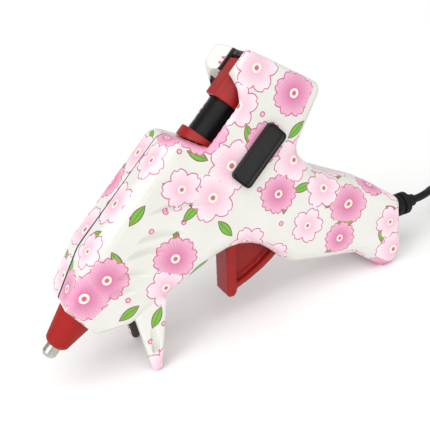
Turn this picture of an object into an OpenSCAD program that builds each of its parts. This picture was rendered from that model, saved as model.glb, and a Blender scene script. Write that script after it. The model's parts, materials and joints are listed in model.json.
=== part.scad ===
// Trigger-fed hot-melt glue gun for thin glue sticks, with a moulded leg on each housing half.
// Every piece is drawn with the barrel along X: nozzle tip at the origin, X to the rear, Z away
// from the handle. rest() then leans the gun nose down onto its two legs and the butt of its handle.

/* [Housing] */
// Half of the housing's width, from the seam to a side face
half_w = 13.2; // [12.8:0.1:15]
// Wall of the two housing halves
wall = 2.6; // [2.2:0.1:3]
// Height of the front housing's top over the barrel axis
top_z = 15.7; // [15:0.1:18]
// Distance of the housing's front face behind the nozzle tip
nose_x = 17.8; // [17:0.1:19]
// Height of the window's side walls over the barrel axis
window_z = 1.9; // [1:0.1:4]
// Width of the window over the stick sleeve
window_w = 22.4; // [22:0.1:23]
// Height of the rear post's top over the barrel axis
post_z = 12.3; // [12:0.1:14]
// Width of the slot in the rear post's top
slot_w = 9.4; // [8:0.1:10]
// Nose-down lean of the barrel when the gun rests
rest_tilt = 39; // [36:0.1:44]

/* [Legs] */
// Radius of a leg's round tip
leg_tip_r = 2.3; // [1.8:0.1:3]
// Distance of a leg's tip from the seam plane
leg_tip_y = 12.8; // [11:0.1:15]

/* [Glue path] */
// Diameter of the glue stick
stick_d = 7.2; // [7:0.1:7.4]
// Radius of the metal nozzle tip
tip_r = 2.9; // [2.6:0.1:3.2]
// Radius of the nozzle's glue bore
tip_bore_r = 0.9; // [0.6:0.1:1.2]
// Radius of the nozzle shroud at its front
shroud_tip_r = 4.8; // [4.4:0.1:5.6]
// Radius of the nozzle shroud at the housing
shroud_base_r = 7.8; // [7.4:0.1:8.4]
// Outside radius of the melt chamber
chamber_r = 6.5; // [6.2:0.1:7]
// Length of the melt chamber's body
chamber_l = 38; // [34:1:40]
// Outside radius of the stick sleeve
sleeve_r = 6.35; // [6.2:0.05:6.5]
// Distance of the stick sleeve's rear end behind the nozzle tip
sleeve_end_x = 115.5; // [114:0.1:116]

/* [Feed] */
// Distance of the carriage's front face behind the nozzle tip at rest
carriage_x = 114.3; // [113.5:0.1:115]
// Length of the feed carriage
carriage_l = 16; // [15:0.1:16.3]
// Radius of the carriage's round body
carriage_r = 8; // [7.9:0.05:8.2]
// Pull of the trigger, in degrees
trigger_pull = 24; // [18:1:24]
// Length of the trigger's arm, from the pivot to the drive pin
arm_l = 18; // [16:0.5:18.5]
// Width of the trigger's front bar
trigger_w = 11; // [9:0.1:11.4]
// Radius of the trigger's pivot pin
pivot_r = 2; // [1.5:0.1:2.2]
// Radius of the drive pin
drive_r = 1.5; // [1:0.1:1.6]

/* [Fits] */
// Radial gap of a pin or sleeve on its seat
seat_gap = 0.05; // [0.02:0.01:0.1]
// Gap beside a sliding or swinging piece
slide_gap = 0.4; // [0.3:0.05:0.6]
// Radial gap of the glue stick in its guides
stick_gap = 0.4; // [0.3:0.05:0.5]

/* [Cord] */
// Diameter of the mains cord
cord_d = 3.6; // [3:0.1:3.9]
// Length of the strain relief outside the housing
boot_l = 16; // [13:0.5:18]
// Radius of the strain relief's rings
boot_r = 5.2; // [4.6:0.1:5.4]
// Length of the straight runs of the put-away cord
hank_l = 54; // [54:1:66]

/* [Hidden] */
$fn = 48;
stick_bore_r = stick_d / 2 + stick_gap;
cord_r = cord_d / 2;

// Points at which the gun is carried when it rests, and the plane through them
leg_tip = [19.3, -34.35];
rest_z = leg_tip_r - leg_tip.x * sin(rest_tilt) - leg_tip.y * cos(rest_tilt);
function floor_z(x) = (-rest_z - x * sin(rest_tilt)) / cos(rest_tilt);

// Side outline of the housing, clockwise from the nose: each corner is [x, z, fillet, edge radius]
nose_top = [nose_x + 2.6, 10];
nose_low = [nose_x - 0.4, -8.6];
nose_lean = atan2(nose_top.x - nose_low.x, nose_top.y - nose_low.y);
butt_back = [131.8, -91.2];
butt_front = [117.2, -107.7];
butt_flat = [103.4, 108.8];
window_x = 96.8;
window_low = -1;
brow_x = 92.5;
carriage_end = carriage_x + carriage_l;
post_x = carriage_x + 1.2;
post_top = [post_x + 8.5, carriage_end + 2.5];
heel = [carriage_end + 12.6, -22.4];
corners = [
  [nose_top.x, nose_top.y, 2.6, 2.4],
  [41, top_z, 14, 5.2],
  [brow_x, top_z, 5.4, 5.2],
  [window_x, window_z, 1, 2],
  [post_x + 1.4, window_z, 4, 2],
  [post_top[0], post_z, 4, 1.8],
  [post_top[1], post_z, 3, 1.8],
  [heel.x, heel.y, 4, 3.6],
  [post_x + 1.1, -30.6, 6, 5],
  [117.6, -45, 16, 8],
  [128.6, -73, 40, 9],
  [butt_back.x, butt_back.y, 6, 5.8],
  [butt_front.x, butt_front.y, 5, 4.6],
  [butt_flat[1], floor_z(butt_flat[1]), 4.6, 4.5],
  [butt_flat[0], floor_z(butt_flat[0]), 4.6, 4.5],
  [101, -89.6, 5, 7],
  [80.4, -63.6, 12, 9],
  [80.7, -35, 22, 6],
  [43, -20.6, 8, 4.5],
  [28, -15.4, 6, 4],
  [nose_low.x, nose_low.y, 4, 3]
];
// Window seen from above, narrowing to the slot in the post
window_front = window_x + slide_gap;
window_plan = [[window_front, -1], [window_front, window_w / 2], [post_x + 4.6, window_w / 2],
  [post_x + 6.1, 0.42 * window_w], [post_x + 7.4, 0.32 * window_w], [post_x + 8.7, slot_w / 2],
  [post_x + 8.7, -1]];
// Slot in the post's top with a slope beside it, as [y, z]
valley_z = post_z - 3.3;
slot_z = post_z - 5.3;
slot_section = [[-1, slot_z], [slot_w / 2, slot_z], [slot_w / 2, valley_z],
  [half_w, valley_z + half_w / 2 - slot_w / 4], [half_w, 2 * top_z], [-1, 2 * top_z]];
// Roundness of the corners between the sides and the nose's and the butt's end faces
nose_corner_r = 5;
butt_corner_r = 6.4;
// Reach of the hollow towards the side, at its full outline and where the outside is rounded
shallow_y = 6.6;
side_y = half_w - wall;
edge_step = 3.4;
rib_t = 2.2;
leg_root = [[30.6, -15.2], [43, -17], [43.2, -20.4], [30.3, -18.4]];
// Slanted grooves in the sides, each as [x, z, length] of its upper front end
grooves = [[33.6, -0.3, 9.1], [40.6, 0.7, 10.3], [48.9, 2.3, 14], [56.1, 2.6, 16.1], [67.1, 4.9, 19.9]];
groove_turn = 50;
groove_w = 1.4;
groove_depth = 0.5;
// Rating plate
label_x = 94;
label_z = -20.7;
label_l = 24.8;
label_h = 9.3;
label_t = 0.45;

// Glue path along the barrel
lip_r = 6.8;
shroud_x = 4.8;
chamber_x = nose_x + 4.6;
chamber_end_x = chamber_x + chamber_l;
spigot_r = 5;
spigot_l = 10;
thread_l = 8;
thread_r = tip_r - 0.3;
heater_x = [30, 54];
heater_w = 9;
heater_z = [-10.6, -7.6];
film_t = 0.6;
clip_t = 0.5;
clip_w = 8;
collar_t = 2.4;
collar_r = 9.1;
ring_r = 5.6;
ring_l = 6.4;

// Feed parts
trigger_pivot = [77, -28.6];
stroke = 2 * arm_l * sin(trigger_pull / 2);
drive_point = trigger_pivot + arm_l * [sin(trigger_pull / 2), cos(trigger_pull / 2)];
rail_y = [7.2, 9.1];
rail_z = [-13.6, window_z - wall - edge_step - slide_gap];
counterbore_l = stroke + 1.9;
strip_z = 8.3;
strip_half = slot_w / 2 - 1.2;
strip_foot = 0.97 * carriage_r * [cos(40), sin(40)];
fork_gap = 0.3;
fork_wall = 2.4;
fork_half = drive_r + fork_gap;
fork_top = trigger_pivot.y + arm_l + fork_half;
cheek_l = 4;
jaw_w = 6;
jaw_x = carriage_end - 5.3;
jaw_top = -stick_bore_r - 0.35;
jaw_low = -carriage_r + 0.4;
jaw_hinge = [carriage_end - 2, -6.2];
jaw_pin_r = 0.8;
jaw_pin_l = 9.2;
// Trigger: corners of its web, front bar and lower rim as [x, z, fillet, unused edge]
trigger_web = 5;
arm_w = 5.6;
arm_eye_r = arm_w / 2 + 0.4;
arm_eye_half = trigger_web / 2 + 0.5;
hub_r = pivot_r + 2.4;
web_outline = [[75, -31, 1, 0], [58, -48, 1, 0], [58, -49.6, 0.4, 0], [85.6, -55.6, 0.6, 0],
  [90.5, -50, 3, 0], [82, -27, 1, 0]];
bar_outline = [[73.5, -32.2, 1, 0], [54.4, -49.8, 1.2, 0], [56.4, -52, 1, 0], [58.6, -51.8, 1, 0],
  [61.4, -49.2, 0.6, 0], [76, -36, 1, 0]];
rim_outline = [[58.4, -50.2, 0.4, 0], [65.6, -53.2, 8, 0], [73, -55.5, 8, 0], [79, -56.6, 8, 0],
  [86.6, -57, 1, 0], [87, -54.4, 1, 0], [79, -54, 8, 0], [73, -53, 8, 0], [65.6, -50.8, 8, 0],
  [59.4, -48.2, 0.4, 0]];
// Opening in the housing that the trigger swings through
trigger_gate = [[63, -22.5], [92, -22.5], [92, -59.6], [60, -59.6], [60, -40]];
spring_post = [108, -16.2];
spring_post_r = 1.8;
spring_r = 2.4;
spring_wire_r = 0.35;
spring_turns = 16;

// Screws, each at [x, z] in the side view
screw_points = [[25.6, -10.2], [57, -21.2], [127, -16.6], [104, -64], [109.5, -101.5]];
screw_r = 1.3;
screw_head_r = 2.5;
screw_head_t = 2;
screw_sink = 3.2;
screw_depth = 8;
boss_r = 3;

// Cord outlet, square to the end face of the handle's butt
end_dir = (butt_back - butt_front) / norm(butt_back - butt_front);
outlet_dir = [end_dir.y, -end_dir.x];
outlet_turn = atan2(outlet_dir.x, outlet_dir.y);
outlet = butt_back - 8.8 * end_dir;
boot_neck_r = 4;
boot_flange_r = 5.2;
boot_flange_t = 1.6;
boot_end_r = 2.7;
boot_ring_t = 2.9;

// Cord clamp and wiring inside the handle
clamp_back = 12;
clamp_l = 16;
clamp_w = 6.8;
clamp_t = 2.4;
clamp_screw_x = 5.4;
clamp_screw_r = 1;
cord_back = clamp_back + 6;
joint_back = cord_back + 0.3;
joint_l = 8;
joint_y = 3.2;
joint_r = 1.4;
lead_r = 0.8;
lead_end_y = 2.4;
lead_points = [[110, 7, -62], [104, 7.6, -40], [98, 7.6, -20], [90, 7.6, -17.4], [66, 7.4, -17],
  [58, 4.6, -12]];

// Place of the resting gun: its box is centred on the Z axis and stands on z = 0
boot_end = outlet + boot_l * outlet_dir;
function leaned(p) = [p.x * cos(rest_tilt) - p.y * sin(rest_tilt),
  p.x * sin(rest_tilt) + p.y * cos(rest_tilt)];
front_end = -0.75 * tip_r * sin(rest_tilt);
rear_end = leaned(boot_end).x + boot_end_r * abs(sin(outlet_turn - 90 - rest_tilt));
mid_x = (front_end + rear_end) / 2;

module rest() {
  translate([-mid_x, 0, rest_z]) rotate([0, -rest_tilt, 0]) children();
}

// Where a point of the side view comes to lie when the gun rests
function rested(p, y = 0) = [leaned(p).x - mid_x, y, leaned(p).y + rest_z];

// Cord route on the resting gun and on the surface, past the strain relief
cord_start = rested(boot_end);
cord_dir = [leaned(outlet_dir).x, 0, leaned(outlet_dir).y];
hank_x = 140;
hank_r = 17;
hank_lift = 0.6;
hank_turns = 1.5;
hank_pitch = cord_d + 0.5;
hank_z = cord_r + hank_lift;
hank_top = hank_z + 3 * hank_pitch;
lead_route = [
  cord_start,
  cord_start + cord_d * cord_dir,
  [97, 0.9, 19.2],
  [103, 4.2, 18.2],
  [112, 10.6, 14.4],
  [119, 14.8, 9.2],
  [125, 16.8, 4.6],
  [131, hank_r, hank_z],
  [hank_x - cord_d, hank_r, hank_z],
];
tail_route = [
  [hank_x + cord_d, hank_r, hank_top],
  [hank_x + 2.2 * cord_d, hank_r, hank_top],
  [155, 16.3, 17.6],
  [163, 10.8, 21.9],
  [170, 6.3, 23.7],
  [174, 6.3, 23.7],
];
// Tie round one side of the put-away cord
tie_x = 166;
tie_w = 6;
tie_t = 0.5;
tie_y = [-18.3, -8.7];
// Plug: outline from above as [x, y, fillet, unused edge], and its two pins
plug_l = 34;
plug_t = 14;
plug_plan = [[0, -6, 2, 0], [10, -12.5, 6, 0], [plug_l, -12.5, 3, 0], [plug_l, 12.5, 3, 0], [10, 12.5, 6, 0],
  [0, 6, 2, 0]];
plug_tail_l = 9;
pin_spacing = 18.6;
pin_r = 2;
pin_l = 19;

// Colours of the materials
white = [0.91, 0.91, 0.89];
red = [0.69, 0.16, 0.14];
black = [0.04, 0.04, 0.05];
steel = [0.72, 0.72, 0.70];
aluminium = [0.78, 0.78, 0.76];
cream = [0.86, 0.83, 0.74];
amber = [0.78, 0.55, 0.22];

// Geometry helpers

function unit(v) = v / norm(v);
function right_of(v) = [v.y, -v.x];
function xz(c) = [c.x, c.y];
function flat(c) = [for (p = rounded(c)) xz(p)];

// Arc of a filleted corner b between its neighbours a and c, with the corner's edge radius carried along
function fillet(a, b, c) =
  let (
    u = unit(xz(a) - xz(b)),
    v = unit(xz(c) - xz(b)),
    half = acos(u * v) / 2,
    centre = xz(b) + unit(u + v) * (b[2] / sin(half)),
    start = xz(b) + u * (b[2] / tan(half)) - centre,
    side = cross(start, v - u) > 0 ? 1 : -1,
    sweep = side * (180 - 2 * half),
    steps = max(2, ceil(abs(sweep) / 16)),
    from = atan2(start.y, start.x)
  )
  [for (i = [0 : steps]) let (t = from + sweep * i / steps)
    [centre.x + b[2] * cos(t), centre.y + b[2] * sin(t), b[3]]];

function rounded(c) =
  let (n = len(c))
  [for (i = [0 : n - 1]) each fillet(c[(i + n - 1) % n], c[i], c[(i + 1) % n])];

// Corner points of a clockwise outline moved inwards by a distance
function inset(c, d) =
  let (n = len(c))
  [for (i = [0 : n - 1])
    let (
      before = right_of(unit(xz(c[i]) - xz(c[(i + n - 1) % n]))),
      after = right_of(unit(xz(c[(i + 1) % n]) - xz(c[i])))
    )
    xz(c[i]) + d * (before + after) / (1 + before * after)];

// Triangles that fill a clockwise outline, cut off one ear at a time; ids number its points
function bend(a, b, c) = cross(b - a, c - b);
function holds(a, b, c, p) = bend(a, b, p) <= 0 && bend(b, c, p) <= 0 && bend(c, a, p) <= 0;
function is_ear(points, a, b, c, ids) =
  bend(points[a], points[b], points[c]) < 0
  && len([for (k = ids)
    if (k != a && k != b && k != c && holds(points[a], points[b], points[c], points[k])) k]) == 0;
function ears(points, ids) =
  let (n = len(ids))
  n == 3 ? [ids] :
  let (
    found = [for (i = [0 : n - 1])
      if (is_ear(points, ids[(i + n - 1) % n], ids[i], ids[(i + 1) % n], ids)) i],
    e = found[0]
  )
  concat([[ids[(e + n - 1) % n], ids[e], ids[(e + 1) % n]]],
    ears(points, [for (i = [0 : n - 1]) if (i != e) ids[i]]));

// Solid from the seam plane out to a side face, with its outer edge rounded
module pillow(c, depth) {
  ring = rounded(c);
  n = len(ring);
  way_in = inset(ring, 1);
  steps = 4;
  seam = [for (p = ring) [p.x, 0, p.y]];
  edge = [for (k = [0 : steps]) let (a = 90 * k / steps)
    for (i = [0 : n - 1])
      let (e = ring[i][2], m = way_in[i] - xz(ring[i]), d = e * (1 - cos(a)))
      [ring[i].x + d * m.x, depth - e + e * sin(a), ring[i].y + d * m.y]];
  sides = [for (k = [0 : steps], i = [0 : n - 1])
    let (j = (i + 1) % n, p = k * n, q = (k + 1) * n)
    each [[p + i, q + i, q + j], [p + i, q + j, p + j]]];
  last = (steps + 1) * n;
  ids = [for (i = [0 : n - 1]) i];
  seam_face = ears([for (p = ring) xz(p)], ids);
  rim = [for (i = ids) [edge[steps * n + i].x, edge[steps * n + i].z]];
  side_face = [for (t = ears(rim, ids)) [last + t[2], last + t[1], last + t[0]]];
  polyhedron(points = concat(seam, edge), faces = concat(seam_face, side_face, sides));
}

// Tube of one radius along a list of points, square at both ends
function sweep_frames(path) =
  let (n = len(path))
  [for (i = [0 : n - 1])
    let (
      t = unit(path[min(i + 1, n - 1)] - path[max(i - 1, 0)]),
      s = unit(cross(t, abs(t.z) > 0.9 ? [1, 0, 0] : [0, 0, 1]))
    )
    [s, cross(s, t)]];

module tube(path, r, sides) {
  n = len(path);
  frames = sweep_frames(path);
  points = [for (i = [0 : n - 1], k = [0 : sides - 1]) let (a = 360 * (k + 0.5) / sides)
    path[i] + r * (cos(a) * frames[i][0] + sin(a) * frames[i][1])];
  walls = [for (i = [0 : n - 2], k = [0 : sides - 1])
    let (j = (k + 1) % sides, p = i * sides, q = p + sides)
    each [[p + k, p + j, q + j], [p + k, q + j, q + k]]];
  front = [for (k = [sides - 1 : -1 : 0]) k];
  back = [for (k = [0 : sides - 1]) (n - 1) * sides + k];
  polyhedron(points = points, faces = concat([front], [back], walls));
}

// Smooth path through hand-chosen points, with a number of steps in each stretch
function blend(a, b, c, d, t) =
  0.5 * ((2 * b) + (c - a) * t + (2 * a - 5 * b + 4 * c - d) * t * t + (3 * b - a - 3 * c + d) * t * t * t);
function smooth(p, steps) =
  let (n = len(p))
  concat([p[0]], [for (i = [0 : n - 2], k = [1 : steps])
    i == 0 || i == n - 2
      ? p[i] + (p[i + 1] - p[i]) * k / steps
      : blend(p[i - 1], p[i], p[i + 1], p[i + 2], k / steps)]);

// Outline of the side view carried across the gun
module slab(points, y0, y1) {
  translate([0, y1, 0]) rotate([90, 0, 0]) linear_extrude(y1 - y0) polygon(points);
}

// Round bar along the barrel
module barrel(x0, x1, r0, r1) {
  translate([x0, 0, 0]) rotate([0, 90, 0]) rotate([0, 0, -90])
    cylinder(h = x1 - x0, r1 = r0, r2 = is_undef(r1) ? r0 : r1);
}

// Round bar across the gun, at a point of the side view
module crosswise(p, y0, y1, r) {
  translate([p.x, y1, p.y]) rotate([90, 0, 0]) cylinder(h = y1 - y0, r = r);
}

// Pieces that stand square to the butt's end face, with their own Z along the cord
module at_outlet(back = 0) {
  translate([outlet.x - back * outlet_dir.x, 0, outlet.y - back * outlet_dir.y])
    rotate([0, outlet_turn, 0]) children();
}

// Round bar along the cord, from a distance inside the butt's end face
module along_cord(back, length, r0, r1) {
  at_outlet(back) rotate([0, 0, -90]) cylinder(h = length, r1 = r0, r2 = is_undef(r1) ? r0 : r1);
}

// Housing

// Hollow of one half, stepped in where the outside is rounded
module hollow() {
  slab(inset(corners, wall), -1, shallow_y);
  slab(inset(corners, wall + edge_step), -1, side_y);
}

// Ribs, bosses and the post's top, which stay solid inside both halves
module ribs() {
  translate([post_x, 0, slot_z]) cube([heel.x - post_x, half_w, top_z]);
  for (x = [chamber_x + 3, chamber_end_x - 4])
    translate([x, 0, -4.5]) cube([rib_t, half_w, top_z]);
  crosswise(trigger_pivot, trigger_w / 2 + slide_gap, half_w, hub_r);
  crosswise(spring_post, 0, half_w, spring_post_r);
  for (p = screw_points)
    crosswise(p, 0, half_w, boss_r);
}

// Everything that is cut through both halves: openings, seats and passages
module openings() {
  barrel(nose_x - 1, chamber_x, lip_r);
  barrel(chamber_x - 1, chamber_end_x, chamber_r + seat_gap);
  barrel(chamber_end_x - 8, post_x, sleeve_r + seat_gap);
  barrel(carriage_x - stroke - 1, carriage_end + 1.2, carriage_r + slide_gap);
  translate([0, 0, window_low]) linear_extrude(2 * top_z) polygon(window_plan);
  translate([post_x, 0, 0]) rotate([90, 0, 90]) linear_extrude(heel.x - post_x) polygon(slot_section);
  barrel(carriage_end, heel.x, ring_r + seat_gap);
  slab(trigger_gate, -1, trigger_w / 2 + slide_gap);
  crosswise(trigger_pivot, -1, half_w - 1.6, pivot_r + seat_gap);
  along_cord(clamp_back - clamp_w / 2 - 1, clamp_back + 9, boot_neck_r + seat_gap);
  along_cord(wall + boot_flange_t + seat_gap, boot_flange_t + seat_gap, boot_flange_r + seat_gap);
  for (g = grooves)
    translate([g.x, half_w - groove_depth, g.y]) rotate([0, groove_turn, 0]) cube([g[2], wall, groove_w]);
}

// Rounds the corner between a side and an end face that stands square to Z at its origin
module end_corner(r) {
  translate([-2 * top_z, half_w - r, -r]) difference() {
    cube([4 * top_z, r + 1, r + 1]);
    translate([-1, 0, 0]) rotate([0, 90, 0]) cylinder(h = 4 * top_z + 2, r = r);
  }
}

module end_corners() {
  translate([nose_low.x, 0, nose_low.y]) rotate([0, nose_lean - 90, 0]) end_corner(nose_corner_r);
  at_outlet() end_corner(butt_corner_r);
}

// Tapered leg, splayed a little from the side of the belly to its round tip
module leg() {
  hull() {
    slab(leg_root, half_w - 4.9, half_w - 0.4);
    translate([leg_tip.x, leg_tip_y, leg_tip.y]) sphere(r = leg_tip_r, $fn = 24);
  }
}

module half_shell() {
  difference() {
    pillow(corners, half_w);
    difference() {
      hollow();
      union() {
        ribs();
        children();
      }
    }
    end_corners();
    openings();
  }
  leg();
}

module left_housing() {
  color(white) rest() mirror([0, 1, 0]) difference() {
    half_shell()
      at_outlet(clamp_back) translate([-clamp_l / 2, cord_r + seat_gap, -clamp_w / 2])
        cube([clamp_l, half_w, clamp_w]);
    for (p = screw_points)
      crosswise(p, -1, screw_depth, screw_r + seat_gap);
    for (s = [-1, 1])
      at_outlet(clamp_back) translate([s * clamp_screw_x, 0, 0])
        rotate([-90, 0, 0]) cylinder(h = cord_r + 6, r = clamp_screw_r + seat_gap);
  }
}

module right_housing() {
  color(white) rest() difference() {
    half_shell();
    for (p = screw_points) {
      crosswise(p, -1, half_w + 1, screw_r + slide_gap / 2);
      crosswise(p, half_w - screw_sink, half_w + 1, screw_head_r + slide_gap / 2);
    }
  }
}

// Self-tapping screws, driven from the right side
module housing_screws() {
  color(steel) rest() for (p = screw_points) difference() {
    union() {
      crosswise(p, -screw_depth + 1, half_w - screw_sink, screw_r);
      crosswise(p, half_w - screw_sink, half_w - screw_sink + screw_head_t, screw_head_r);
    }
    for (turn = [0, 90])
      translate([p.x, half_w - screw_sink + screw_head_t, p.y]) rotate([0, turn, 0])
        cube([3.4, 2, 0.6], center = true);
  }
}

// Plain rating plate on the left side
module label_plate() {
  color(black) rest() translate([label_x, -half_w - label_t, label_z]) cube([label_l, label_t, label_h]);
}

// Glue path

module nozzle() {
  color(steel) rest() difference() {
    union() {
      barrel(0, 1.2, 0.75 * tip_r, tip_r);
      barrel(1.2, chamber_x, tip_r);
      barrel(chamber_x, chamber_x + thread_l, thread_r);
    }
    barrel(-1, chamber_x + thread_l + 1, tip_bore_r);
  }
}

// Silicone cone around the nozzle, seated in the leaning front face and its lip
module nozzle_shroud() {
  front_face = [nose_low - [seat_gap, 0], nose_top - [seat_gap, 0], [chamber_end_x, nose_top.y],
    [chamber_end_x, nose_low.y]];
  color(red) rest() difference() {
    union() {
      barrel(shroud_x, shroud_x + 1.2, shroud_tip_r - 1.2, shroud_tip_r);
      difference() {
        barrel(shroud_x + 1.2, nose_top.x, shroud_tip_r, shroud_base_r);
        slab(front_face, -half_w, half_w);
      }
      barrel(shroud_x + 1.2, chamber_x - seat_gap, shroud_tip_r);
      barrel(nose_low.x, chamber_x - seat_gap, lip_r - seat_gap);
    }
    barrel(0, chamber_x, tip_r + seat_gap);
  }
}

// Aluminium chamber that melts the stick, with a flat under it for the heater
module melt_chamber() {
  color(aluminium) rest() difference() {
    union() {
      barrel(chamber_x, chamber_end_x, chamber_r);
      barrel(chamber_end_x, chamber_end_x + spigot_l, spigot_r);
      translate([heater_x[0], -heater_w / 2, heater_z[1] + seat_gap])
        cube([heater_x[1] - heater_x[0], heater_w, -heater_z[1] - 2]);
    }
    barrel(chamber_x - 1, chamber_x + thread_l + 0.2, thread_r + seat_gap);
    barrel(chamber_x + thread_l, chamber_end_x, tip_bore_r * 1.6);
    barrel(chamber_x + thread_l + 3, chamber_end_x + spigot_l + 1, stick_bore_r);
  }
}

module heater_tablet() {
  color(cream) rest() translate([heater_x[0], -heater_w / 2, heater_z[0]])
    cube([heater_x[1] - heater_x[0], heater_w, heater_z[1] - heater_z[0]]);
}

module heater_insulator() {
  color(amber) rest() translate([heater_x[0] - 0.6, -heater_w / 2 - 0.5, heater_z[0] - film_t - seat_gap])
    cube([heater_x[1] - heater_x[0] + 1.2, heater_w + 1, film_t]);
}

// Spring-steel strap that clamps the heater to the chamber
module heater_clip() {
  low = heater_z[0] - film_t - 2 * seat_gap;
  inner = chamber_r + seat_gap;
  outer = inner + clip_t;
  mid = (heater_x[0] + heater_x[1]) / 2;
  color(steel) rest() difference() {
    union() {
      barrel(mid - clip_w / 2, mid + clip_w / 2, outer);
      translate([mid - clip_w / 2, -outer, low - clip_t]) cube([clip_w, 2 * outer, clip_t - low]);
    }
    barrel(0, chamber_end_x, inner);
    translate([0, -inner, low]) cube([chamber_end_x, 2 * inner, -low]);
  }
}

// Black sleeve that guides the stick into the chamber
module stick_sleeve() {
  color(black) rest() difference() {
    barrel(chamber_end_x + seat_gap, sleeve_end_x, sleeve_r);
    barrel(chamber_end_x, sleeve_end_x + 1, stick_bore_r);
    barrel(chamber_end_x, chamber_end_x + spigot_l + 0.2, spigot_r + seat_gap);
  }
}

module sleeve_clamp() {
  color(steel) rest() difference() {
    barrel(chamber_end_x + 3, chamber_end_x + 7, sleeve_r + 0.8);
    barrel(chamber_end_x, chamber_end_x + 9, sleeve_r + seat_gap);
  }
}

// Collar behind the window's sloped front wall, cut away below for the carriage's rails
module sleeve_collar() {
  front = window_front + seat_gap;
  wall_side = [[brow_x - window_x + front, top_z], [front, window_z], [front, window_low], [0, window_low],
    [0, top_z]];
  color(red) rest() difference() {
    barrel(brow_x, window_front + collar_t, collar_r);
    barrel(0, window_x + 9, sleeve_r + seat_gap);
    slab(wall_side, -window_w, window_w);
    translate([0, -window_w, window_low + slide_gap - window_w]) cube([window_x + 9, 2 * window_w, window_w]);
  }
}

// Bush in the rear wall through which a new stick goes in
module inlet_ring() {
  color(black) rest() difference() {
    intersection() {
      barrel(carriage_end + 1.4, carriage_end + 1.4 + ring_l, ring_r);
      slab(inset(corners, slide_gap), -half_w, half_w);
    }
    barrel(carriage_x, heel.x, stick_bore_r);
  }
}

// Feed

// Carriage around the stick: strip with sloped flanks in the rear slot, and two rails to the drive pin
module feed_carriage() {
  rail_x = drive_point.x - fork_half - fork_wall;
  strip = [[-strip_foot.x, strip_foot.y], [-strip_half, strip_z], [strip_half, strip_z], strip_foot];
  color(red) rest() difference() {
    union() {
      barrel(carriage_x, carriage_end, carriage_r);
      translate([carriage_x, 0, 0]) rotate([90, 0, 90]) linear_extrude(carriage_l) polygon(strip);
      for (s = [0, 1]) mirror([0, s, 0]) {
        translate([rail_x, rail_y[0], rail_z[0]])
          cube([carriage_x + cheek_l - rail_x, rail_y[1] - rail_y[0], rail_z[1] - rail_z[0]]);
        translate([carriage_x, rail_y[0] - 3, rail_z[0] + 3])
          cube([cheek_l, rail_y[1] - rail_y[0] + 3, rail_z[1] - rail_z[0] - 3]);
      }
    }
    barrel(carriage_x - 1, carriage_x + counterbore_l, sleeve_r + slide_gap);
    barrel(carriage_x, carriage_end + 1, stick_bore_r);
    translate([drive_point.x - fork_half, -half_w, rail_z[0] - 1])
      cube([2 * fork_half, 2 * half_w, fork_top - rail_z[0] + 1]);
    translate([jaw_x - slide_gap, -jaw_w / 2 - slide_gap / 2, -2 * carriage_r])
      cube([carriage_l, jaw_w + slide_gap, 2 * carriage_r - stick_bore_r + 1]);
    crosswise(jaw_hinge, -jaw_pin_l / 2, jaw_pin_l / 2, jaw_pin_r + seat_gap);
  }
}

// Toothed jaw that bites into the stick as the trigger is pulled
module grip_jaw() {
  tooth = 1.1;
  color(steel) rest() difference() {
    translate([jaw_x, -jaw_w / 2, jaw_low]) cube([carriage_end - 0.4 - jaw_x, jaw_w, jaw_top - jaw_low]);
    crosswise(jaw_hinge, -jaw_w, jaw_w, jaw_pin_r + seat_gap);
    for (i = [0 : 3])
      translate([jaw_x + tooth * (i + 0.7), 0, jaw_top]) rotate([0, 45, 0])
        cube([tooth / 2, 2 * jaw_w, tooth / 2], center = true);
  }
}

module jaw_pin() {
  color(steel) rest() crosswise(jaw_hinge, -jaw_pin_l / 2 + 0.1, jaw_pin_l / 2 - 0.1, jaw_pin_r);
}

// Trigger: wide front bar, thin web with a rim along its lower edge, and the arm to the carriage
module trigger() {
  color(red) rest() difference() {
    union() {
      slab(flat(web_outline), -trigger_web / 2, trigger_web / 2);
      slab(flat(bar_outline), -trigger_w / 2, trigger_w / 2);
      slab(flat(rim_outline), -trigger_w / 2, trigger_w / 2);
      crosswise(trigger_pivot, -trigger_w / 2, trigger_w / 2, hub_r);
      translate([trigger_pivot.x, 0, trigger_pivot.y]) rotate([0, trigger_pull / 2, 0])
        translate([-arm_w / 2, -trigger_web / 2, 0]) cube([arm_w, trigger_web, arm_l]);
      crosswise(drive_point, -arm_eye_half, arm_eye_half, arm_eye_r);
    }
    crosswise(trigger_pivot, -half_w, half_w, pivot_r + seat_gap);
    crosswise(drive_point, -half_w, half_w, drive_r + seat_gap);
  }
}

module pivot_pin() {
  color(steel) rest() crosswise(trigger_pivot, 1.8 - half_w, half_w - 1.8, pivot_r);
}

// Pin in the trigger's arm whose ends run in the carriage's forks
module drive_pin() {
  color(steel) rest() crosswise(drive_point, -rail_y[1], rail_y[1], drive_r);
}

// Tension spring that pulls the trigger's arm back to rest
module return_spring() {
  lean = trigger_pull / 2;
  arm_x = drive_point.x - (drive_point.y - spring_post.y - spring_r) * tan(lean) + arm_w / 2 / cos(lean);
  start = arm_x + slide_gap;
  finish = spring_post.x - spring_post_r - slide_gap;
  hook = 4 * spring_wire_r;
  steps = 8 * spring_turns;
  curl = [for (i = [0 : steps])
    [start + hook + (finish - start - 2 * hook) * i / steps, spring_r * sin(45 * i), spring_r * cos(45 * i)]];
  path = concat([[start, 0, spring_r]], curl, [[finish, 0, spring_r]]);
  color(steel) rest() translate([0, 0, spring_post.y]) tube(path, spring_wire_r, 6);
}

// Cord outlet and wiring

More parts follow.
